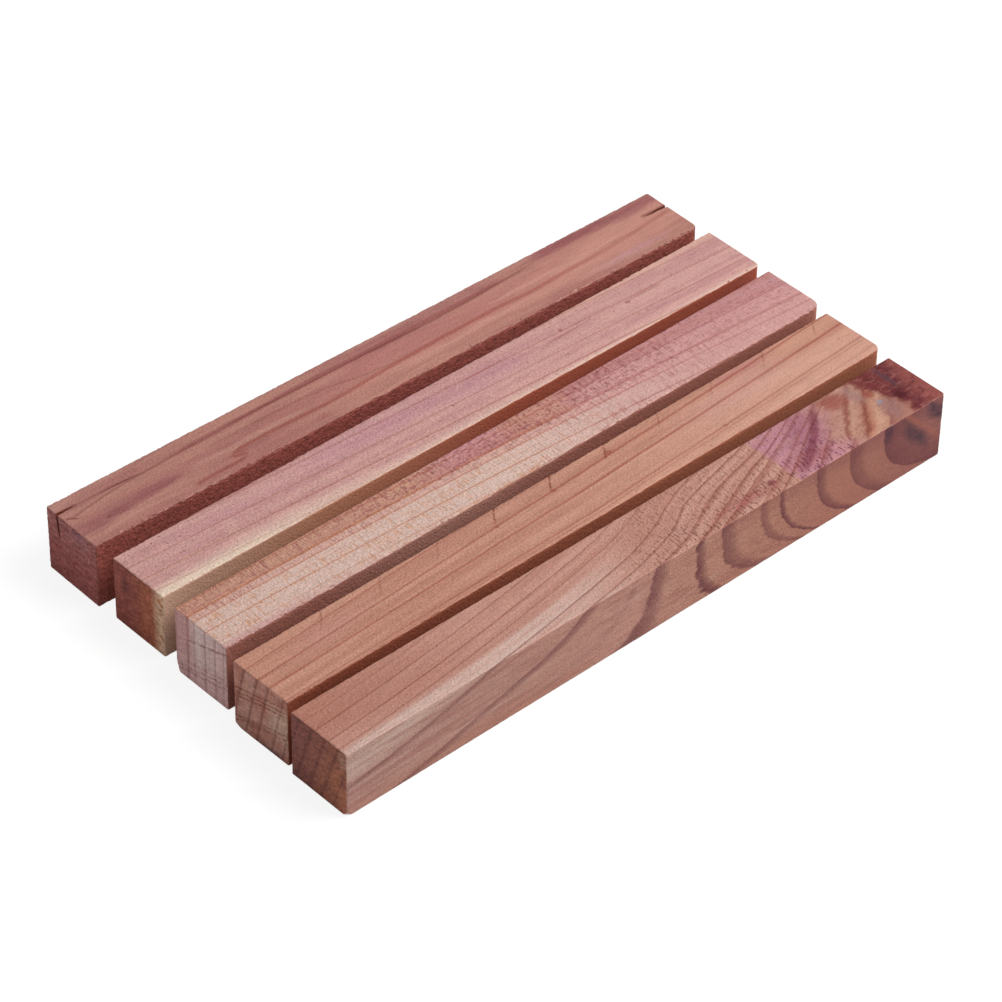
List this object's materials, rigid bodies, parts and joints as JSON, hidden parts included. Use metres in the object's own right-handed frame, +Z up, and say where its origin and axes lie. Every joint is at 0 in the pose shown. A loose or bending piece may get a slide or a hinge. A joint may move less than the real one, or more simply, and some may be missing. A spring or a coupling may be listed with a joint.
{
  "type": "cedar hanger block",
  "caption": "Loose square cedar sticks laid side by side, for scenting drawers and wardrobes and keeping moths away; each lifts out of the row by itself.",
  "frame": {"origin": "centre of the underside of the middle block, on the surface that the row lies on", "axes": "+X along the middle block to the right, +Y across the row to the back, +Z up"},
  "size_m": [0.2037, 0.116, 0.0204],
  "materials": {
    "dusty_heartwood": "sawn, unfinished",
    "pink_heartwood": "sawn, unfinished",
    "striped_sapwood": "sawn, unfinished",
    "tan_heartwood": "sawn, unfinished",
    "knotty_heartwood": "sawn, unfinished"
  },
  "bodies": {
    "middle": {"middle_block": "striped_sapwood"},
    "rear_middle": {"rear_middle_block": "pink_heartwood"},
    "back": {"back_block": "dusty_heartwood"},
    "front_middle": {"front_middle_block": "tan_heartwood"},
    "front": {"front_block": "knotty_heartwood"}
  },
  "joints": [
    {"name": "lift_back_block", "type": "slide", "parent": "middle", "child": "back", "axis": [0, 0, 1], "range_m": [0, 0.06]},
    {"name": "lift_rear_middle_block", "type": "slide", "parent": "middle", "child": "rear_middle", "axis": [0, 0, 1], "range_m": [0, 0.06]},
    {"name": "lift_front_middle_block", "type": "slide", "parent": "middle", "child": "front_middle", "axis": [0, 0, 1], "range_m": [0, 0.06]},
    {"name": "lift_front_block", "type": "slide", "parent": "middle", "child": "front", "axis": [0, 0, 1], "range_m": [0, 0.06]}
  ]
}
